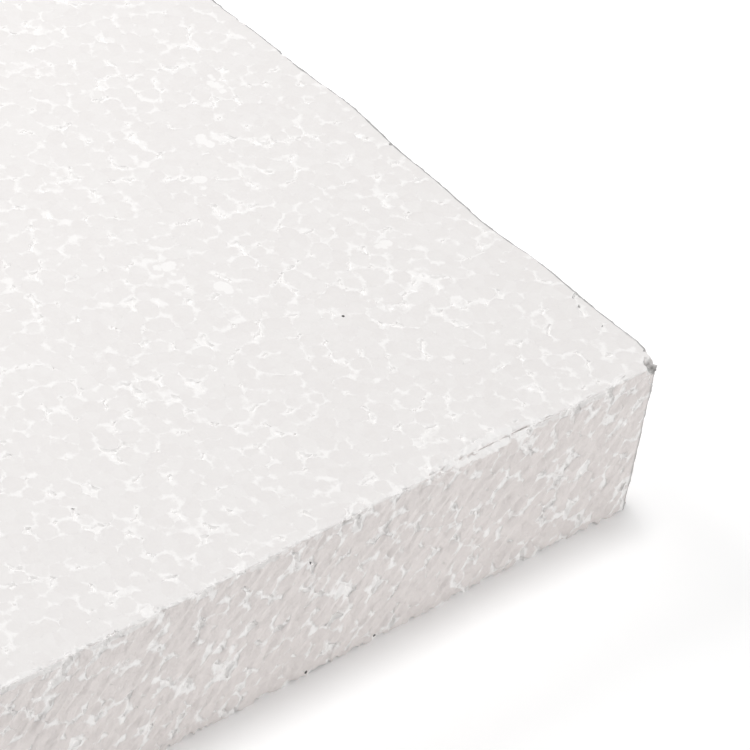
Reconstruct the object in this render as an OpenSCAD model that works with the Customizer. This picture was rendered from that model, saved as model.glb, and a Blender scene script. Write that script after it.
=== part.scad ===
// Sheet of expanded polystyrene foam: one slab of fused beads, cut to size with a hot wire.
// The underside rests on Z = 0. X runs along the length, Y along the width.
// The front side faces -Y and the right side faces +X.
// Distances along the front and right sides count from the corner where those two meet.

/* [Sheet] */
// Length along X, over the crests of the cut
sheet_length = 200; // [150:1:300]
// Width along Y, over the crests of the cut
sheet_width = 150; // [110:1:240]
// Thickness
sheet_thickness = 25; // [18:1:50]
// Diameter of the foam beads
bead_diameter = 2.2; // [1.6:0.1:4]

/* [Right side] */
// How far the wire wandered in the long wave, crest to trough
right_wave_depth = 0.8; // [0:0.1:2]
// Distance between crests of the long wave
right_wave_pitch = 49; // [30:1:80]
// Distance from the corner to the first crest of the long wave
right_wave_start = 13; // [0:1:30]
// How deep the short ripple is, crest to trough
right_ripple_depth = 0.4; // [0:0.1:1]
// Distance between crests of the short ripple
right_ripple_pitch = 19; // [10:1:30]
// Distance from the corner to the first crest of the short ripple
right_ripple_start = 4; // [0:1:10]

/* [Front side] */
// How far the wire wandered, crest to trough
front_wave_depth = 0.6; // [0:0.1:2]
// Distance between crests of the wander
front_wave_pitch = 137; // [60:1:200]
// Distance from the corner to the first crest
front_wave_start = 83; // [0:1:100]

/* [Wear] */
// How much of the corner between the front and right sides has broken away
corner_chip = 1.5; // [0.4:0.1:3]
// Distance from the top down to the torn crumb that stands out of that corner
crumb_drop = 0.5; // [0.4:0.1:3]
// Width of the crumb
crumb_width = 0.9; // [0.8:0.1:1.6]
// Height of the crumb
crumb_height = 2.2; // [1:0.1:4]
// Width of the scoop worn along the top edge of the front side
scoop_width = 2; // [0.6:0.1:2.5]
// Length of the scoop
scoop_length = 20; // [10:1:40]
// Distance from the corner to the middle of the scoop
scoop_place = 29; // [25:1:70]
// Depth of the deepest sockets that beads have fallen out of, along the bottom edges
socket_depth = 0.55; // [0.3:0.05:1]
// Average distance between those sockets
socket_spacing = 7; // [5:0.5:20]

/* [Hidden] */
foam_colour = [0.94, 0.93, 0.925];
// Points along a cut side lie this far apart
outline_step = 2.5;
// The shallowest socket, as a share of the deepest
shallowest_socket = 0.4;
// Sockets wander along the edge by up to this share of their spacing
socket_wander = 0.45;
// Sockets turn round the edge by up to this angle
socket_swing = 25;
$fn = 48;

half_length = sheet_length / 2;
half_width = sheet_width / 2;

// A number from 0 to 1 that looks random, and is the same on every run
function chance(i, j, k) =
    let (v = sin(i * 127.1 + j * 311.7 + k * 74.7) * 4375.85)
    v - floor(v);

// Distance that a wave of this depth and pitch cuts inwards, s along the side
function wave_cut(s, depth, pitch, start) =
    depth / 2 * (1 - cos(360 * (s - start) / pitch));

// Distance from the straight side in to the cut, s along it from the corner
function right_cut(s) =
    wave_cut(s, right_wave_depth, right_wave_pitch, right_wave_start)
    + wave_cut(s, right_ripple_depth, right_ripple_pitch, right_ripple_start);
function front_cut(s) = wave_cut(s, front_wave_depth, front_wave_pitch, front_wave_start);

// Points of the cut sides in plan, s along each from the corner
function right_point(s) = [half_length - right_cut(s), s - half_width];
function front_point(s) = [half_length - s, front_cut(s) - half_width];

// Even steps from the chipped corner to the far end of a side
function steps(side) = [
    for (i = [0 : floor((side - corner_chip) / outline_step) - 1])
        corner_chip + i * outline_step
];

// Outline of the sheet, anticlockwise: right side, two plain corners, front side
module outline() {
    right_side = [for (s = steps(sheet_width)) right_point(s)];
    front_side = [for (s = steps(sheet_length)) front_point(s)];
    front_last = len(front_side) - 1;
    polygon(concat(
        right_side,
        [right_point(sheet_width), [-half_length, half_width], front_point(sheet_length)],
        [for (i = [front_last : -1 : 0]) front_side[i]]
    ));
}

// Wear along the top edge of the front side, deepest in the middle
module worn_scoop() {
    depth = scoop_width / 2;
    radius = scoop_length * scoop_length / 8 / depth + depth / 2;
    translate([half_length - scoop_place, front_cut(scoop_place) - half_width, sheet_thickness])
        rotate([-45, 0, 0])
            translate([0, depth - radius, 0])
                cylinder(r = radius, h = 4 * scoop_width, center = true);
}

// Socket of bead i, sunk into the bottom edge of the side that faces outwards
module socket(place, outwards, i) {
    depth = socket_depth * (shallowest_socket + (1 - shallowest_socket) * chance(i, outwards[0], 1));
    tilt = 45 + socket_swing * (2 * chance(i, outwards[0], 2) - 1);
    reach = bead_diameter / 2 - depth;
    across = reach * cos(tilt);
    translate([place[0] + outwards[0] * across, place[1] + outwards[1] * across, -reach * sin(tilt)])
        sphere(d = bead_diameter);
}

// Distance of socket i from the corner
function socket_place(i, seed) = (i + socket_wander * (2 * chance(i, seed, 3) - 1)) * socket_spacing;

// Sockets along the bottom edges of the front and right sides
module lost_beads() {
    for (i = [1 : floor(sheet_length / socket_spacing) - 1])
        socket(front_point(socket_place(i, 0)), [0, -1], i);
    for (i = [1 : floor(sheet_width / socket_spacing) - 1])
        socket(right_point(socket_place(i, 2)), [1, 0], i);
}

// Crumb of torn foam that stands out of the middle of the chipped corner
module crumb() {
    place = (right_point(corner_chip) + front_point(corner_chip)) / 2;
    drop = crumb_drop + crumb_height / 2;
    translate([place[0], place[1], sheet_thickness - drop])
        rotate([12, 18, 30])
            cube([crumb_width, 0.8 * crumb_width, crumb_height], center = true);
}

module foam_sheet() {
    color(foam_colour) {
        union() {
            difference() {
                linear_extrude(height = sheet_thickness)
                    outline();
                worn_scoop();
                lost_beads();
            }
            crumb();
        }
    }
}

foam_sheet();
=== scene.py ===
"""Looks of the foam sheet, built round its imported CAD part: a slab of fused beads, cut by a hot wire."""

import math

import bpy
import numpy as np
from mathutils import Euler, Matrix, Vector, noise
from mathutils.bvhtree import BVHTree


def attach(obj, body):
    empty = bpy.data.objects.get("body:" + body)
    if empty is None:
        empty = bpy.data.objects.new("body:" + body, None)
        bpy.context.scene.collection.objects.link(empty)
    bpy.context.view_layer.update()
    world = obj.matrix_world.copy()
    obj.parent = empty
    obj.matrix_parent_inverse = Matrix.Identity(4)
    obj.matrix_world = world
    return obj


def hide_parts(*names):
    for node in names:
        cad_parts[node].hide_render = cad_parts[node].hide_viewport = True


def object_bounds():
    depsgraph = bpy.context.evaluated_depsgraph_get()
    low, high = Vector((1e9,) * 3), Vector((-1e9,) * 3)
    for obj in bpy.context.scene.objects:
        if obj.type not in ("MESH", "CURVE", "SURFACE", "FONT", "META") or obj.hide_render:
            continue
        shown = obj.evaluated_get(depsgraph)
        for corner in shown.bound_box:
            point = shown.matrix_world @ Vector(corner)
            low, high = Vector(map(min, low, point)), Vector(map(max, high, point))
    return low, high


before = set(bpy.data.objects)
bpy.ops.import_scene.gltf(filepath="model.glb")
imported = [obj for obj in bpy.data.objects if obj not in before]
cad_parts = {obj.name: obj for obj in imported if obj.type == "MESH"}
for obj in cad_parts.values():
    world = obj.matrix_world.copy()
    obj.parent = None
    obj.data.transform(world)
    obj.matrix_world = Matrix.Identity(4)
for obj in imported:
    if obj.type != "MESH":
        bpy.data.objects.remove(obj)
cad_low, cad_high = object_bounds()
MM = 0.001

# The corner where the top, the front side and the right side meet. Places below are measured from it.
CORNER = Vector((cad_high.x, cad_low.y, cad_high.z))

# ---------------------------------------------------------------- sizes, in metres and degrees

# Beads: centres scattered about a lattice that is turned away from every side of the sheet
BEAD_PITCH = 2.0 * MM
BEAD_RADIUS = 0.745 * BEAD_PITCH
BEAD_SCATTER = 0.75
BEAD_TURN = tuple(math.radians(angle) for angle in (31, 47, 23))

# Mesh: step of the first grid, and triangles left after thinning
GRID_STEP = 0.25 * MM
TRIANGLES = 195000

# The solid's walls are measured this far clear of its ends. Grid points this near to an edge are moved
# onto the solid, by up to a limit.
WALL_MARGIN = 1.4 * MM
EDGE_REACH = 3.2 * MM
EDGE_PULL = 2.2 * MM

# Gaps between beads: depths and the steepness of their walls, on the top and on the cut sides,
# and the shares of those that are left near the edges and on the underside
SHALLOWEST_GAP = 0.1 * MM
TOP_GAP, TOP_STEEPNESS = 0.24 * MM, 0.75
SIDE_GAP, SIDE_STEEPNESS = 0.42 * MM, 1.5
EDGE_GAP_SHARE = 0.5
EDGE_GAP_FADE = 0.8 * MM
UNDERSIDE_SHARE = 0.1

# Lumps of the cut sides, coarse and fine: how high, and how long
COARSE_LUMP, COARSE_LENGTH = 0.26 * MM, 1.1 * MM
FINE_LUMP, FINE_LENGTH = 0.1 * MM, 0.55 * MM
LUMP_FADE = 1.2 * MM

# The strokes that the wire left in the cut sides: which way they run, and how much longer they are than wide
STROKE = Vector((0.6, 0, 0.8))
STROKE_LENGTH = 2.8

# The thin lip that overhangs the front side in places: depth and place of the groove below it
LIP_GROOVE = 0.42 * MM
LIP_DROP = 0.75 * MM
LIP_HEIGHT = 0.3 * MM
LIP_LENGTH = 4 * MM

# Rounded and fretted edges. Each kind of edge has its mean wear, how much of the fretting it takes, and its
# least wear, all as shares of EDGE_WEAR. Less than 0 stands out.
EDGE_BAND = 0.9 * MM
EDGE_WEAR = 0.34 * MM
EDGE_NOISE = 2.3 * MM
RIGHT_EDGE = (0.9, 0.25, -math.inf)
FRONT_BOTTOM_EDGE = (0.2, 1.5, -1)
OTHER_EDGE = (0.5, 1, -0.6)

# The worn part of the front edge: from the corner along X, its reach along the edge and round it, and its
# roughness
WORN_PLACE = -33 * MM
WORN_REACH = 9 * MM
WORN_BAND = 1.8 * MM
WORN_ROUGHNESS = 0.6 * MM

# The broken corner: how far in from it a piece of the top has broken away, how far down to the ledge that is
# left, and the crumb that stands on the ledge
BREAK_REACH = 2.85 * MM
LEDGE_DROP = 0.9 * MM
CRUMB_REACH = 2.0 * MM
CRUMB_ROUGHNESS = 0.45 * MM

# Cracks in the top, from the corner along X and Y: two behind the worn edge, and one short stroke
CRACKS = (
    ((-23.6, 2.3), (-24.6, 2.2), (-25.8, 1.8), (-27.2, 2.0), (-28.6, 1.7)),
    ((-29.5, 2.3), (-30.3, 2.6), (-31.2, 2.2), (-31.3, 1.6)),
    ((-25.3, 31.5), (-25.4, 30.3), (-24.6, 29.1), (-21.9, 27.7)),
)
CRACK_WIDTH = 0.38 * MM
CRACK_DEPTH = 0.24 * MM

# How far the outlines of gaps and beads are shaken
SHAKE = 0.45 * MM

# Black specks of dirt, one in the top and two near the bottom edge of the front side: places from the
# corner, and radii
SPECKS = (((-29.5, 28.8, 0), 0.19), ((-44.4, 0.4, -24.4), 0.2), ((-55.6, 0.2, -24.4), 0.22))

# Broad pale spots in the top, where whole beads lie open, from the corner along X and Y, and their radius
OPEN_BEADS = ((-42.7, 48.2), (-38.7, 41.1), (-28.2, 59.9), (-22.4, 65.6), (-15.9, 37.6), (-13.3, 74.4))
OPEN_RADIUS = 0.9 * MM

# The crumb, greyed with painted shade and soil, and the painted shadow in the crevice beside it, from the
# corner: places, and the radii between which each fades out
CRUMB = Vector((-0.8, 1.5, -1.3)) * MM
CRUMB_FADE = (1.5 * MM, 1.0 * MM)
CREVICE = Vector((-1.7, 0.9, -1.1)) * MM
CREVICE_FADE = (0.8 * MM, 0.35 * MM)

# Dark lines: painted shade along the top edge of the right side, where its faces turn away from the light,
# with how far in and how far down it reaches, and a dark line down the front edge of the broken corner, with
# how far in it reaches, each with the width over which it fades out. Then how dark they are, and the corner's
# share of that.
RIGHT_LINE_REACH, RIGHT_LINE_FADE = 3 * MM, 0.6 * MM
RIGHT_LINE_DROP, RIGHT_LINE_DROP_FADE = 1.2 * MM, 0.4 * MM
CORNER_LINE_REACH, CORNER_LINE_FADE = 2.5 * MM, 0.35 * MM
LINE_SHARE, CORNER_LINE_SHARE = 0.95, 0.75

# What stands upright less than this far below the top is the wall of a gap, and not a cut side
TOP_BAND = (0.25 * MM, 0.55 * MM)

# Noises of the material: how many of their waves go into a metre
SHAKE_WAVES = 900.0
FRAY_WAVES = 720.0
PATCH_WAVES = 260.0
STROKE_WAVES = 750.0
SWELL_WAVES = 650.0
GRAIN_WAVES = 3500.0

# How strongly the noises fray the outlines of the gaps, and how far inside and outside a bead's rim the
# frayed and the plain gaps fade, in bead pitches
FRAY, PATCH_FRAY, STROKE_FRAY = 0.8, 0.45, 0.9
FRAYED_FADE = (-0.17, 0.09)
PLAIN_FADE = (-0.05, 0.02)

# Pinholes where three beads meet: how blunt the beads are there, where a pinhole fades, and how pale it is
BLUNTNESS = 0.5
PINHOLE_FRAY = 0.08
PINHOLE_FADE = (0.128, 0.158)
PINHOLE_SHARE = 0.8

# Relief of the material, as shares of its depth, and how much more of it the cut sides have
RELIEF_DEPTH = 0.5 * MM
RELIEF_STRENGTH = 0.8
GRAIN_RELIEF, SWELL_RELIEF, STROKE_RELIEF, ROUND_RELIEF, HOLLOW_RELIEF = 0.04, 0.4, 0.3, 0.6, 0.1
SIDE_RELIEF = 1.4

# Colours: the darkest and the palest cut beads of the top and of the sides, and what lies over them
TOP_BEADS = ((0.85, 0.822, 0.81), (0.888, 0.866, 0.854))
# The sides' beads are darker and warmer than the top's: painted shade and painted warm bounce light
SHADED_SIDE_BEADS = ((0.745, 0.697, 0.679), (0.83, 0.78, 0.76))
TORN_FOAM, TORN_SHARE = (0.94, 0.93, 0.92), 0.6
# Gaps, pinholes and open beads: the whiter skin of uncut beads, made paler still with painted light, the glow
# of light scattered in the foam and glints on the skins
GAP_SKIN_AND_GLOW = (0.98, 0.962, 0.95)
# Painted shade along the top edge of the right side, and the dark line down the corner
SHADE_AND_DARK_LINE = (0.34, 0.335, 0.33)
SPECK_DIRT = (0.03, 0.028, 0.026)
# Painted shade with soil on the crumb, and the painted shadow in the crevice beside it
CRUMB_SHADE_AND_DIRT = (0.6, 0.58, 0.57)
CREVICE_SHADOW = (0.36, 0.35, 0.34)
BEAD_ROUGHNESS, GAP_ROUGHNESS = 0.55, 0.4

# Floor: how far it reaches from the middle, its colour, and how much paler than that it is seen
FLOOR_REACH = 3.0
FLOOR_COLOUR = 0.9
FLOOR_GAIN = 0.27

# Light: the world's strength on the sheet, and the name, watts, size, distance and direction of each lamp
AMBIENT = 0.3
LAMPS = (
    ("overhead", 4.45, 0.28, 1.0, (0.13, 0.07, 1.0)),
    ("side", 0.42, 0.16, 0.36, (-0.1, 0.67, 0.72)),
    ("low", 13.9, 0.6, 2.0, (0.45, -0.87, 0.15)),
)

# Camera: lens and sensor in millimetres, angles, and place from the corner
CAMERA_LENS = 192
CAMERA_SENSOR = 36
CAMERA_AZIMUTH = math.radians(46.8)
CAMERA_DOWN = math.radians(40.41)
CAMERA_ROLL = math.radians(9.73)
CAMERA_FROM_CORNER = Vector((-306.5, -238.4, 319.0)) * MM


# ---------------------------------------------------------------- bead pattern, shared by mesh and material

def link(tree, source, target):
    tree.links.new(source, target)


def bead_texture(tree, place, feature="F1"):
    """Voronoi cells whose centres are the bead centres. place is a position in the sheet's frame."""
    turned = tree.nodes.new("ShaderNodeVectorRotate")
    turned.rotation_type = "EULER_XYZ"
    turned.inputs["Rotation"].default_value = BEAD_TURN
    scaled = tree.nodes.new("ShaderNodeVectorMath")
    scaled.operation = "SCALE"
    scaled.inputs["Scale"].default_value = 1 / BEAD_PITCH
    cells = tree.nodes.new("ShaderNodeTexVoronoi")
    cells.voronoi_dimensions = "3D"
    cells.feature = feature
    cells.inputs["Scale"].default_value = 1
    cells.inputs["Randomness"].default_value = BEAD_SCATTER
    link(tree, place, turned.inputs["Vector"])
    link(tree, turned.outputs[0], scaled.inputs[0])
    link(tree, scaled.outputs[0], cells.inputs["Vector"])
    return cells


def to_lattice(points):
    """The same turn and scale as in bead_texture."""
    turn = np.array(Euler(BEAD_TURN).to_matrix())
    return points @ turn.T / BEAD_PITCH


def bead_centres(points):
    """Lattice positions of the beads nearest to these points, from the texture itself."""
    mesh = bpy.data.meshes.new("probe")
    mesh.vertices.add(len(points))
    mesh.vertices.foreach_set("co", points.astype(np.float32).ravel())
    probe = bpy.data.objects.new("probe", mesh)
    bpy.context.collection.objects.link(probe)
    tree = bpy.data.node_groups.new("probe", "GeometryNodeTree")
    tree.interface.new_socket("Geometry", in_out="INPUT", socket_type="NodeSocketGeometry")
    tree.interface.new_socket("Geometry", in_out="OUTPUT", socket_type="NodeSocketGeometry")
    start = tree.nodes.new("NodeGroupInput")
    end = tree.nodes.new("NodeGroupOutput")
    place = tree.nodes.new("GeometryNodeInputPosition")
    store = tree.nodes.new("GeometryNodeStoreNamedAttribute")
    store.data_type = "FLOAT_VECTOR"
    store.inputs["Name"].default_value = "centre"
    cells = bead_texture(tree, place.outputs[0])
    link(tree, start.outputs[0], store.inputs["Geometry"])
    link(tree, cells.outputs["Position"], store.inputs["Value"])
    link(tree, store.outputs[0], end.inputs[0])
    probe.modifiers.new("probe", "NODES").node_group = tree
    shown = probe.evaluated_get(bpy.context.evaluated_depsgraph_get())
    found = np.empty(len(points) * 3, np.float32)
    shown.data.attributes["centre"].data.foreach_get("vector", found)
    bpy.data.objects.remove(probe)
    bpy.data.meshes.remove(mesh)
    bpy.data.node_groups.remove(tree)
    return found.reshape(-1, 3)


class Beads:
    """The bead centres round a set of surface points, kept by lattice cell."""

    def __init__(self, points, outwards):
        depths = np.arange(-2.0, 3.1, 0.35) * BEAD_PITCH
        probes = np.concatenate([points - outwards * depth for depth in depths])
        centres = bead_centres(probes)
        cells = np.floor(centres).astype(int)
        self.low = cells.min(0) - 2
        shape = cells.max(0) + 3 - self.low
        self.centres = np.full((*shape, 3), 1e3, np.float32)
        i, j, k = (cells - self.low).T
        self.centres[i, j, k] = centres

    def near(self, places):
        """The centres in the 27 cells round each lattice position, one set of cells at a time."""
        i, j, k = (np.floor(places).astype(int) - self.low).T
        for a in (-1, 0, 1):
            for b in (-1, 0, 1):
                for c in (-1, 0, 1):
                    yield self.centres[i + a, j + b, k + c]

    def nearest(self, places):
        """Distance to the nearest bead centre, and the way to it, in lattice units."""
        best = np.full(len(places), 1e6, np.float32)
        away = np.zeros((len(places), 3), np.float32)
        for centre in self.near(places):
            gap = places - centre
            far = np.linalg.norm(gap, axis=1)
            closer = far < best
            best[closer] = far[closer]
            away[closer] = gap[closer]
        return best, away

    def depth(self, places, inwards, radius):
        """Distance along inwards to the first bead that a line from each place meets, in lattice units."""
        best = np.full(len(places), 1e3, np.float32)
        for centre in self.near(places):
            gap = centre - places
            along = (gap * inwards).sum(1)
            reach = radius * radius - (gap * gap).sum(1) + along * along
            hit = along - np.sqrt(np.maximum(reach, 0))
            meets = (reach > 0) & (hit > 0) & (hit < best)
            best[meets] = hit[meets]
        return best


# ---------------------------------------------------------------- the grid that covers the sheet

def box_grid(counts):
    """Points and quads that cover a box of counts steps, with the edges shared: integer places and faces."""
    places, quads = [], []
    first = 0
    for axis in range(3):
        across, up = (axis + 1) % 3, (axis + 2) % 3
        for level in (0, counts[axis]):
            u, v = np.meshgrid(np.arange(counts[across] + 1), np.arange(counts[up] + 1), indexing="ij")
            place = np.empty((u.size, 3), int)
            place[:, axis] = level
            place[:, across] = u.ravel()
            place[:, up] = v.ravel()
            ids = first + np.arange(u.size).reshape(u.shape)
            corners = [ids[:-1, :-1], ids[1:, :-1], ids[1:, 1:], ids[:-1, 1:]]
            if level == 0:
                corners.reverse()
            places.append(place)
            quads.append(np.stack([corner.ravel() for corner in corners], 1))
            first += u.size
    places = np.concatenate(places)
    code = (places[:, 0] * (counts[1] + 1) + places[:, 1]) * (counts[2] + 1) + places[:, 2]
    kept, inverse = np.unique(code, return_inverse=True)
    first_of = np.empty(len(kept), int)
    first_of[inverse] = np.arange(len(code))
    return places[first_of], inverse[np.concatenate(quads)]


def wall_profile(solid, stations, axis, sign):
    """How far the solid's wall lies along axis at each station on the other plan axis, at half height."""
    other = 1 - axis
    low, high = stations[0] + WALL_MARGIN, stations[-1] - WALL_MARGIN
    reach = []
    for station in stations:
        start = Vector((0, 0, (cad_low.z + cad_high.z) / 2))
        start[axis] = sign
        start[other] = min(max(station, low), high)
        way = Vector((0, 0, 0))
        way[axis] = -sign
        reach.append(solid.ray_cast(start, way)[0][axis])
    return np.array(reach)


def build_base(solid):
    """Grid points on the CAD solid's surface, their outward directions, quads, and distances to an edge."""
    low, high = np.array(cad_low), np.array(cad_high)
    counts = np.round((high - low) / GRID_STEP).astype(int)
    grid, quads = box_grid(counts)
    share = grid / counts
    box = low + share * (high - low)
    lines = [low[a] + np.arange(counts[a] + 1) / counts[a] * (high[a] - low[a]) for a in (0, 1)]
    left, right = (wall_profile(solid, lines[1], 0, sign)[grid[:, 1]] for sign in (-1, 1))
    front, back = (wall_profile(solid, lines[0], 1, sign)[grid[:, 0]] for sign in (-1, 1))
    base = box.copy()
    base[:, 0] = left + share[:, 0] * (right - left)
    base[:, 1] = front + share[:, 1] * (back - front)

    to_low, to_high = box - low, high - box
    pull = np.clip(1 - to_high / EDGE_BAND, 0, 1) - np.clip(1 - to_low / EDGE_BAND, 0, 1)
    outwards = pull / np.linalg.norm(pull, axis=1)[:, None]
    to_edge = np.sort(np.minimum(to_low, to_high), axis=1)[:, 1]
    for i in np.flatnonzero(to_edge < EDGE_REACH):
        way = Vector(outwards[i])
        hit = solid.ray_cast(Vector(base[i]) + way * 3 * MM, -way)[0]
        if hit is not None and (hit - Vector(base[i])).length < EDGE_PULL:
            base[i] = hit
    return base.astype(np.float32), outwards.astype(np.float32), quads, to_edge.astype(np.float32)


def along_stroke(place):
    """Shortens a place along the strokes, so that a noise at it runs along them."""
    return place - STROKE * (place.dot(STROKE) * (1 - 1 / STROKE_LENGTH))


def wear_edges(base, outwards, to_edge):
    """Rounds the edges and frets them, the ones of the right side the least."""
    for i in np.flatnonzero(to_edge < EDGE_BAND):
        place = Vector(base[i])
        fade = 1 - to_edge[i] / EDGE_BAND
        fret = 0.9 * noise.noise(place / EDGE_NOISE) + 1.5 * noise.noise(place / (0.35 * EDGE_NOISE))
        x, y, z = outwards[i]
        if y < -0.3 and z < -0.3:
            mean, share, least = FRONT_BOTTOM_EDGE
        else:
            mean, share, least = RIGHT_EDGE if x > 0.3 else OTHER_EDGE
        base[i] -= outwards[i] * (EDGE_WEAR * fade * fade * max(mean + share * fret, least))


def roughen_sides(base, outwards, to_edge):
    """Raises lumps on the cut sides, and sinks the groove below the lip of the front side."""
    upright = np.abs(outwards[:, 2]) < 0.3
    for i in np.flatnonzero(upright & (to_edge > 0)):
        place = along_stroke(Vector(base[i]))
        lump = COARSE_LUMP * noise.noise(place / COARSE_LENGTH)
        lump += FINE_LUMP * noise.noise(place / FINE_LENGTH)
        base[i] += outwards[i] * (lump * min(to_edge[i] / LUMP_FADE, 1))
    below = (cad_high.z - base[:, 2] - LIP_DROP) / LIP_HEIGHT
    along = (base[:, 0] - cad_high.x - WORN_PLACE) / WORN_REACH
    facing = np.clip((-outwards[:, 1] - 0.8) / 0.15, 0, 1)
    for i in np.flatnonzero((facing > 0) & (np.abs(below) < 2)):
        there = noise.noise(Vector((base[i, 0] / LIP_LENGTH, 7.3, 0)))
        there += 0.3 * noise.noise(Vector(base[i]) / MM)
        there = min(max(4 * there + 0.4, 0), 1) * facing[i] * (1 - math.exp(-along[i] ** 2))
        base[i] -= outwards[i] * (LIP_GROOVE * math.exp(-below[i] ** 2) * there)


def break_corner(base):
    """Breaks the top of the corner away down to a ledge, and makes the crumb on it lumpy."""
    inwards = Vector((-1, 1, 0)).normalized()
    for i in np.flatnonzero(np.linalg.norm(base - np.array(CORNER), axis=1) < 2 * BREAK_REACH):
        place = Vector(base[i])
        lump = noise.noise(place / (0.6 * MM))
        rough = noise.noise(Vector((place.x, place.y, 0)) / (0.8 * MM))
        from_corner = (place - CORNER).dot(inwards)
        broken = min(max((BREAK_REACH * (1 + 0.2 * rough) - from_corner) / (0.3 * MM), 0), 1)
        pull = max(1 - (place - CORNER - CRUMB).length / CRUMB_REACH, 0)
        base[i] += inwards * (CRUMB_ROUGHNESS * pull * (1 + 1.2 * lump))
        base[i, 2] = min(base[i, 2], cad_high.z - broken * LEDGE_DROP * (1 + 0.5 * rough))


def roughen_worn_edge(base, outwards, to_edge):
    """Crumples the worn part of the front edge."""
    along = (base[:, 0] - cad_high.x - WORN_PLACE) / WORN_REACH
    near_edge = (base[:, 1] < cad_low.y + 6 * MM) & (base[:, 2] > cad_high.z - 5 * MM)
    for i in np.flatnonzero((np.abs(along) < 2) & near_edge):
        place = Vector(base[i])
        lump = noise.noise(place / (1.1 * MM)) + 0.7 * noise.noise(place / (0.5 * MM))
        share = math.exp(-along[i] ** 2 - (to_edge[i] / WORN_BAND) ** 2)
        base[i] += outwards[i] * (WORN_ROUGHNESS * share * min(lump, 0.3))


def open_crack(base, crack):
    """Parts the foam along a crack in the top."""
    line = [CORNER.xy + Vector(point) * MM for point in crack]
    middle = np.array((line[0] + line[-1]) / 2)
    near = (np.linalg.norm(base[:, :2] - middle, axis=1) < 7 * MM) & (base[:, 2] > cad_high.z - 2 * MM)
    for i in np.flatnonzero(near):
        place = Vector(base[i, :2])
        away = min(
            (place - (a + (b - a) * min(max((place - a).dot(b - a) / (b - a).length_squared, 0), 1))).length
            for a, b in zip(line, line[1:])
        )
        broken = max(0.5 + 1.3 * noise.noise(Vector(base[i]) / (0.7 * MM)), 0)
        base[i, 2] -= CRACK_DEPTH * broken * max(1 - away / CRACK_WIDTH, 0)


def sink_gaps(base, outwards, to_edge):
    """Moves the grid's points onto the rims of the gaps between beads, and down into the gaps."""
    beads = Beads(base[::7], outwards[::7])
    radius = BEAD_RADIUS / BEAD_PITCH
    places = to_lattice(base)
    distance, away = beads.nearest(places)
    turn = to_lattice(outwards) * BEAD_PITCH
    flat = away - turn * (away * turn).sum(1)[:, None]
    slope = np.linalg.norm(flat, axis=1) / np.maximum(distance, 1e-6)
    offset = (radius - distance) / np.maximum(slope, 0.3)
    step = GRID_STEP / BEAD_PITCH
    snapped = (np.abs(offset) < 0.62 * step) & (to_edge > 0.6 * GRID_STEP)
    shift = flat / np.maximum(np.linalg.norm(flat, axis=1), 1e-6)[:, None] * offset[:, None]
    turn_back = np.array(Euler(BEAD_TURN).to_matrix())
    base[snapped] += (shift[snapped] @ turn_back * BEAD_PITCH).astype(np.float32)

    gap = np.flatnonzero((distance > radius) & ~snapped)
    depth = beads.depth(places[gap], -turn[gap], radius) * BEAD_PITCH
    top = outwards[gap, 2] > 0.5
    depth = np.clip(depth, SHALLOWEST_GAP, np.where(top, TOP_GAP, SIDE_GAP))
    slope = np.where(top, TOP_STEEPNESS, SIDE_STEEPNESS)
    depth = np.minimum(depth, SHALLOWEST_GAP + slope * (distance[gap] - radius) * BEAD_PITCH)
    under = base[gap, 2] < cad_low.z + 0.1 * MM
    depth[under] *= UNDERSIDE_SHARE
    depth *= EDGE_GAP_SHARE + (1 - EDGE_GAP_SHARE) * np.clip(to_edge[gap] / EDGE_GAP_FADE, 0, 1)
    base[gap] -= outwards[gap] * depth[:, None]


def lay_out_bake_map(mesh):
    """Lays the six sides flat, side by side and at one scale, as the map that the look is baked to."""
    count = len(mesh.polygons)
    centres = np.empty(count * 3, np.float32)
    normals = np.empty(count * 3, np.float32)
    mesh.polygons.foreach_get("center", centres)
    mesh.polygons.foreach_get("normal", normals)
    centres, normals = centres.reshape(-1, 3), normals.reshape(-1, 3)
    low, high = np.array(cad_low), np.array(cad_high)
    nearness = np.concatenate([low - centres, centres - high], axis=1)
    facing = np.concatenate([-normals, normals], axis=1)
    side = (facing + 600 * nearness).argmax(1)

    length, width, height = high - low
    space = 2 * MM
    second_row = width + 2 * space
    long_sides = length + 2 * space
    # For each side, low then high: the axes of the sheet that run across and up the map, and where it starts
    charts = [
        (1, 2, space, long_sides + 2 * (height + space)),
        (0, 2, space, long_sides),
        (1, 0, space, space),
        (1, 2, second_row, long_sides + 2 * (height + space)),
        (0, 2, space, long_sides + height + space),
        (1, 0, second_row, space),
    ]
    map_size = 2 * width + 3 * space
    points = np.empty(len(mesh.vertices) * 3, np.float32)
    mesh.vertices.foreach_get("co", points)
    points = points.reshape(-1, 3)
    corners = np.empty(len(mesh.loops), int)
    mesh.loops.foreach_get("vertex_index", corners)
    loops = np.empty(count, int)
    mesh.polygons.foreach_get("loop_total", loops)
    chart_of = np.repeat(side, loops)
    places = np.empty((len(corners), 2))
    for chart, (across, up, start_across, start_up) in enumerate(charts):
        mine = chart_of == chart
        own = points[corners[mine]] - low
        places[mine] = own[:, [across, up]] + (start_across, start_up)
    bake_map = mesh.uv_layers.new(name="OFBake")
    bake_map.data.foreach_set("uv", (places / map_size).astype(np.float32).ravel())


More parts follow.
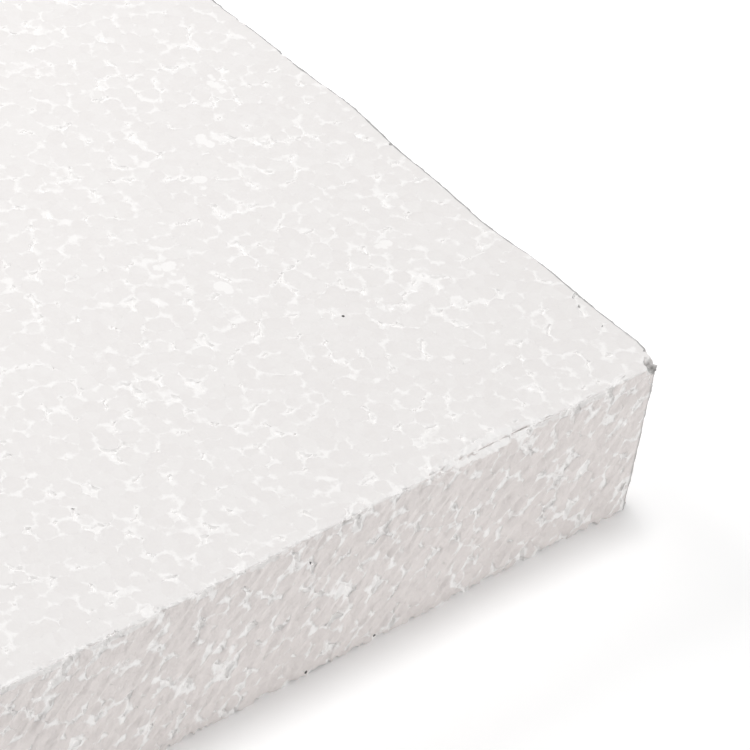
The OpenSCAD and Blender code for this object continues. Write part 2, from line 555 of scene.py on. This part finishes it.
def build_sheet(solid_object):
    """The visible sheet: one closed mesh that follows the CAD solid, with the gaps between its beads."""
    mesh = solid_object.data
    solid = BVHTree.FromPolygons([v.co for v in mesh.vertices], [p.vertices for p in mesh.polygons])
    base, outwards, quads, to_edge = build_base(solid)
    wear_edges(base, outwards, to_edge)
    roughen_worn_edge(base, outwards, to_edge)
    roughen_sides(base, outwards, to_edge)
    break_corner(base)
    sink_gaps(base, outwards, to_edge)
    for crack in CRACKS:
        open_crack(base, crack)
    sheet_mesh = bpy.data.meshes.new("foam_sheet_cut")
    sheet_mesh.vertices.add(len(base))
    sheet_mesh.vertices.foreach_set("co", base.ravel())
    sheet_mesh.loops.add(quads.size)
    sheet_mesh.loops.foreach_set("vertex_index", quads.ravel())
    sheet_mesh.polygons.add(len(quads))
    sheet_mesh.polygons.foreach_set("loop_start", np.arange(len(quads)) * 4)
    sheet_mesh.update(calc_edges=True)
    sheet = bpy.data.objects.new("foam_sheet_cut", sheet_mesh)
    bpy.context.collection.objects.link(sheet)
    thin = sheet.modifiers.new("thin", "DECIMATE")
    thin.ratio = TRIANGLES / (2 * len(quads))
    bpy.context.view_layer.objects.active = sheet
    bpy.ops.object.modifier_apply(modifier=thin.name)
    sheet.data.polygons.foreach_set("use_smooth", np.ones(len(sheet.data.polygons), bool))
    sheet.data.set_sharp_from_angle(angle=math.radians(30))
    even = sheet.modifiers.new("even", "WEIGHTED_NORMAL")
    even.keep_sharp = True
    bpy.ops.object.modifier_apply(modifier=even.name)
    lay_out_bake_map(sheet.data)
    return sheet


# ---------------------------------------------------------------- material nodes

def set_inputs(node, **values):
    for name, value in values.items():
        node.inputs[name].default_value = value


def math_node(tree, operation, first, second, clamp=False):
    node = tree.nodes.new("ShaderNodeMath")
    node.operation = operation
    node.use_clamp = clamp
    for socket, value in zip(node.inputs, (first, second)):
        if isinstance(value, (int, float)):
            socket.default_value = value
        else:
            link(tree, value, socket)
    return node.outputs[0]


def add(tree, first, second, clamp=False):
    return math_node(tree, "ADD", first, second, clamp)


def times(tree, first, second):
    return math_node(tree, "MULTIPLY", first, second)


def larger(tree, first, second):
    return math_node(tree, "MAXIMUM", first, second)


def times_plus(tree, value, factor, term):
    result = math_node(tree, "MULTIPLY_ADD", value, factor)
    result.node.inputs[2].default_value = term
    return result


def centred(tree, value):
    return math_node(tree, "SUBTRACT", value, 0.5)


def ramp(tree, value, low, high):
    """0 at low and 1 at high, smooth between."""
    node = tree.nodes.new("ShaderNodeMapRange")
    node.interpolation_type = "SMOOTHSTEP"
    node.inputs["From Min"].default_value = low
    node.inputs["From Max"].default_value = high
    link(tree, value, node.inputs["Value"])
    return node.outputs[0]


def split(tree, vector):
    node = tree.nodes.new("ShaderNodeSeparateXYZ")
    link(tree, vector, node.inputs[0])
    return node.outputs


def vector_node(tree, operation, first, second):
    node = tree.nodes.new("ShaderNodeVectorMath")
    node.operation = operation
    link(tree, first, node.inputs[0])
    node.inputs[1].default_value = second
    return node


def distance_from(tree, place, point):
    return vector_node(tree, "DISTANCE", place, point).outputs["Value"]


def mix_colour(tree, share, first, second):
    node = tree.nodes.new("ShaderNodeMix")
    node.data_type = "RGBA"
    link(tree, share, node.inputs[0])
    for socket, value in ((node.inputs[6], first), (node.inputs[7], second)):
        if isinstance(value, tuple):
            socket.default_value = (*value, 1)
        else:
            link(tree, value, socket)
    return node.outputs[2]


def noise_texture(tree, place, waves, detail=2.0, roughness=0.5):
    node = tree.nodes.new("ShaderNodeTexNoise")
    set_inputs(node, Scale=waves, Detail=detail, Roughness=roughness)
    link(tree, place, node.inputs["Vector"])
    return node.outputs[0]


def add_shake(tree, place):
    """Shakes a position a little, so that no outline on the foam is a perfect curve."""
    shake = noise_texture(tree, place, SHAKE_WAVES, 2.0, 0.6).node
    offset = vector_node(tree, "SUBTRACT", shake.outputs["Color"], (0.5, 0.5, 0.5))
    moved = vector_node(tree, "MULTIPLY_ADD", offset.outputs[0], (SHAKE, SHAKE, SHAKE))
    link(tree, place, moved.inputs[2])
    return moved.outputs[0]


def along_stroke_node(tree, place):
    """The same as along_stroke."""
    along = vector_node(tree, "DOT_PRODUCT", place, STROKE).outputs["Value"]
    shortened = tree.nodes.new("ShaderNodeVectorMath")
    shortened.operation = "SCALE"
    shortened.inputs[0].default_value = STROKE
    link(tree, times(tree, along, 1 / STROKE_LENGTH - 1), shortened.inputs["Scale"])
    moved = tree.nodes.new("ShaderNodeVectorMath")
    link(tree, place, moved.inputs[0])
    link(tree, shortened.outputs[0], moved.inputs[1])
    return moved.outputs[0]


def seen_directly(tree):
    """1 on rays from the camera, and on ones that a gloss or a clear surface sends on. Otherwise 0."""
    rays = tree.nodes.new("ShaderNodeLightPath")
    seen = larger(tree, rays.outputs["Is Camera Ray"], rays.outputs["Is Glossy Ray"])
    return larger(tree, seen, rays.outputs["Is Transmission Ray"])


# ---------------------------------------------------------------- the foam's material

def surface_masks(tree, place):
    """Where the foam is torn, where it is cut upright, and where the dark lines run: painted shade along the
    top edge of the right side, and a dark line down the front edge of the broken corner.
    """
    x, y, z = split(tree, place)
    facing = split(tree, tree.nodes.new("ShaderNodeNewGeometry").outputs["Normal"])
    level = times(tree, facing[2], facing[2])

    # Torn faces are the ones that do not lie along a side of the sheet
    torn = times(tree, ramp(tree, level, 0.97, 0.85), ramp(tree, level, 0.06, 0.16))
    below_top = ramp(tree, z, cad_high.z - TOP_BAND[0], cad_high.z - TOP_BAND[1])
    upright = times(tree, ramp(tree, level, 0.6, 0.2), below_top)

    # Painted shade: faces near the top edge of the right side that turn towards that side are darkened
    edge = cad_high.x - RIGHT_LINE_REACH
    rightmost = ramp(tree, x, edge, edge + RIGHT_LINE_FADE)
    turned = times(tree, ramp(tree, facing[0], 0.15, 0.35), ramp(tree, facing[0], 0.99, 0.95))
    edge = cad_high.z - RIGHT_LINE_DROP
    rim = ramp(tree, z, edge, edge + RIGHT_LINE_DROP_FADE)
    right_edge_shade = times(tree, times(tree, rightmost, turned), rim)

    # Across the corner, Y less X grows inwards
    inwards = math_node(tree, "SUBTRACT", y, x)
    edge = cad_low.y - cad_high.x + CORNER_LINE_REACH
    corner_line = ramp(tree, inwards, edge, edge - CORNER_LINE_FADE)
    corner_line = times(tree, corner_line, ramp(tree, facing[0], 0.62, 0.4))
    edge_shade_and_line = larger(tree, right_edge_shade, times(tree, corner_line, CORNER_LINE_SHARE))
    return torn, upright, edge_shade_and_line


def gap_masks(tree, frayed, beads, blunt):
    """The gaps between beads, and the pinholes that are only left where three beads meet."""
    radius = BEAD_RADIUS / BEAD_PITCH
    distance = beads.outputs["Distance"]
    frayed_gap = ramp(tree, frayed, radius + FRAYED_FADE[0], radius + FRAYED_FADE[1])
    plain_gap = ramp(tree, distance, radius + PLAIN_FADE[0], radius + PLAIN_FADE[1])
    meeting = math_node(tree, "SUBTRACT", distance, blunt.outputs["Distance"])
    meeting = add(tree, meeting, times(tree, frayed, PINHOLE_FRAY))
    return larger(tree, frayed_gap, plain_gap), ramp(tree, meeting, *PINHOLE_FADE)


def add_open_beads(tree, place, frayed, pale):
    """Adds the broad pale spots to the mask of what is pale."""
    for x, y in OPEN_BEADS:
        away = distance_from(tree, place, CORNER + Vector((x, y, 0)) * MM)
        away = add(tree, away, times(tree, frayed, 4 * OPEN_RADIUS))
        pale = larger(tree, pale, ramp(tree, away, 3.4 * OPEN_RADIUS, 2.7 * OPEN_RADIUS))
    return pale


def bead_colour(tree, beads, fray, upright):
    """Colour of the cut beads: each has its own tone, and the noise mottles it. The cut sides take a darker,
    warmer copy: painted shade and painted warm bounce light.
    """
    tone = tree.nodes.new("ShaderNodeSeparateColor")
    link(tree, beads.outputs["Color"], tone.inputs[0])
    mottled = times_plus(tree, fray, 1.2, -0.6)
    mottled = add(tree, mottled, times_plus(tree, tone.outputs[0], 0.6, 0.2), clamp=True)
    top = mix_colour(tree, mottled, *TOP_BEADS)
    # The cut sides take the darker, warmer copy: painted shade and painted warm bounce light
    return mix_colour(tree, upright, top, mix_colour(tree, mottled, *SHADED_SIDE_BEADS))


def add_dirt_and_shade(tree, colour, place, shaken):
    """Adds the specks of dirt, the crumb greyed with painted shade and soil, and the painted shadow in the
    crevice beside it.
    """
    for speck, size in SPECKS:
        away = distance_from(tree, place, CORNER + Vector(speck) * MM)
        colour = mix_colour(tree, ramp(tree, away, 1.25 * size * MM, 0.8 * size * MM), colour, SPECK_DIRT)
    # The crumb is greyed with painted shade and soil, and the crevice beside it gets a painted shadow
    crumb_shade_and_soil = ramp(tree, distance_from(tree, shaken, CORNER + CRUMB), *CRUMB_FADE)
    colour = mix_colour(tree, crumb_shade_and_soil, colour, CRUMB_SHADE_AND_DIRT)
    crevice_shadow = ramp(tree, distance_from(tree, shaken, CORNER + CREVICE), *CREVICE_FADE)
    return mix_colour(tree, crevice_shadow, colour, CREVICE_SHADOW)


def relief(tree, place, blunt, hollow, stroke, upright):
    """Height of the finest relief: rounded beads with hollows between them, swells, strokes and grain."""
    grain = times(tree, noise_texture(tree, place, GRAIN_WAVES, 3.0, 0.6), GRAIN_RELIEF)
    swell = times(tree, noise_texture(tree, place, SWELL_WAVES), SWELL_RELIEF)
    height = add(tree, add(tree, grain, swell), times(tree, stroke, STROKE_RELIEF))
    round_off = math_node(tree, "POWER", blunt.outputs["Distance"], 4.0)
    height = math_node(tree, "SUBTRACT", height, times(tree, round_off, ROUND_RELIEF))
    height = math_node(tree, "SUBTRACT", height, times(tree, hollow, HOLLOW_RELIEF))
    return times(tree, height, times_plus(tree, upright, SIDE_RELIEF, 1.0))


def foam_material():
    material = bpy.data.materials.new("eps_foam")
    material.use_nodes = True
    tree = material.node_tree
    shader = tree.nodes["Principled BSDF"]
    place = tree.nodes.new("ShaderNodeTexCoord").outputs["Object"]
    shaken = add_shake(tree, place)
    beads = bead_texture(tree, shaken)
    blunt = bead_texture(tree, shaken, "SMOOTH_F1")
    blunt.inputs["Smoothness"].default_value = BLUNTNESS
    torn, upright, edge_shade_and_line = surface_masks(tree, place)

    fray = noise_texture(tree, place, FRAY_WAVES, 3.0, 0.6)
    patches = centred(tree, noise_texture(tree, place, PATCH_WAVES))
    stroke = centred(tree, noise_texture(tree, along_stroke_node(tree, place), STROKE_WAVES))
    stroke = times(tree, stroke, upright)
    frayed = add(tree, times_plus(tree, fray, FRAY, -FRAY / 2), beads.outputs["Distance"])
    frayed = add(tree, frayed, times(tree, patches, PATCH_FRAY))
    frayed = add(tree, frayed, times(tree, stroke, STROKE_FRAY))

    gap, pinhole = gap_masks(tree, frayed, beads, blunt)
    pale = larger(tree, gap, times(tree, pinhole, PINHOLE_SHARE))
    pale = add_open_beads(tree, place, frayed, pale)

    colour = bead_colour(tree, beads, fray, upright)
    colour = mix_colour(tree, times(tree, torn, TORN_SHARE), colour, TORN_FOAM)
    # Gaps, pinholes and open beads made paler: whiter bead skin, with painted glow and glints
    colour = mix_colour(tree, pale, colour, GAP_SKIN_AND_GLOW)
    # Painted shade along the right side's top edge, and the dark line down the corner
    colour = mix_colour(tree, times(tree, edge_shade_and_line, LINE_SHARE), colour, SHADE_AND_DARK_LINE)
    link(tree, add_dirt_and_shade(tree, colour, place, shaken), shader.inputs["Base Color"])
    rough = times_plus(tree, pale, GAP_ROUGHNESS - BEAD_ROUGHNESS, BEAD_ROUGHNESS)
    link(tree, rough, shader.inputs["Roughness"])

    bump = tree.nodes.new("ShaderNodeBump")
    set_inputs(bump, Strength=RELIEF_STRENGTH, Distance=RELIEF_DEPTH)
    height = relief(tree, place, blunt, larger(tree, gap, pinhole), stroke, upright)
    link(tree, height, bump.inputs["Height"])
    link(tree, bump.outputs[0], shader.inputs["Normal"])
    return material


# ---------------------------------------------------------------- floor, light and camera

def add_floor():
    """The pale floor, which is seen paler than it lights the sheet."""
    mesh = bpy.data.meshes.new("floor")
    reach, level = FLOOR_REACH, cad_low.z
    corners = [(-reach, -reach, level), (reach, -reach, level), (reach, reach, level), (-reach, reach, level)]
    mesh.from_pydata(corners, [], [(0, 1, 2, 3)])
    floor = bpy.data.objects.new("floor", mesh)
    bpy.context.collection.objects.link(floor)
    material = bpy.data.materials.new("floor")
    material.use_nodes = True
    tree = material.node_tree
    tree.nodes.remove(tree.nodes["Principled BSDF"])
    shader = tree.nodes.new("ShaderNodeBsdfDiffuse")
    link(tree, times_plus(tree, seen_directly(tree), FLOOR_GAIN, FLOOR_COLOUR), shader.inputs["Color"])
    link(tree, shader.outputs[0], tree.nodes["Material Output"].inputs["Surface"])
    mesh.materials.append(material)


def add_light():
    """The lamps, and a world that is seen white but lights the sheet only a little."""
    world = bpy.data.worlds.new("studio")
    bpy.context.scene.world = world
    world.use_nodes = True
    tree = world.node_tree
    sky = tree.nodes["Background"]
    sky.inputs["Color"].default_value = (1, 1, 1, 1)
    link(tree, times_plus(tree, seen_directly(tree), 1 - AMBIENT, AMBIENT), sky.inputs["Strength"])
    centre = (cad_low + cad_high) / 2
    for name, power, size, distance, way in LAMPS:
        lamp = bpy.data.lights.new(name, "AREA")
        lamp.shape = "SQUARE"
        lamp.size = size
        lamp.energy = power
        placed = bpy.data.objects.new(name, lamp)
        bpy.context.collection.objects.link(placed)
        placed.location = centre + Vector(way).normalized() * distance
        placed.rotation_euler = Vector(way).to_track_quat("Z", "Y").to_euler()


def add_camera():
    """The camera looks down on the corner between the front and right sides."""
    data = bpy.data.cameras.new("camera")
    data.lens = CAMERA_LENS
    data.sensor_width = CAMERA_SENSOR
    data.clip_start = 0.01
    camera = bpy.data.objects.new("camera", data)
    bpy.context.collection.objects.link(camera)
    ahead = Vector((
        math.sin(CAMERA_AZIMUTH) * math.cos(CAMERA_DOWN),
        math.cos(CAMERA_AZIMUTH) * math.cos(CAMERA_DOWN),
        -math.sin(CAMERA_DOWN),
    ))
    right = Vector((math.cos(CAMERA_AZIMUTH), -math.sin(CAMERA_AZIMUTH), 0))
    up = right.cross(ahead)
    rolled_right = math.cos(CAMERA_ROLL) * right + math.sin(CAMERA_ROLL) * up
    rolled_up = math.cos(CAMERA_ROLL) * up - math.sin(CAMERA_ROLL) * right
    turn = Matrix((rolled_right, rolled_up, -ahead)).transposed()
    camera.matrix_world = Matrix.Translation(CORNER + CAMERA_FROM_CORNER) @ turn.to_4x4()
    bpy.context.scene.camera = camera


# ---------------------------------------------------------------- the scene

sheet = build_sheet(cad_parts["foam_sheet"])
sheet.data.materials.append(foam_material())
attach(sheet, "root")
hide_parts("foam_sheet")
add_floor()
add_light()
add_camera()
bpy.context.scene.view_settings.view_transform = "Standard"
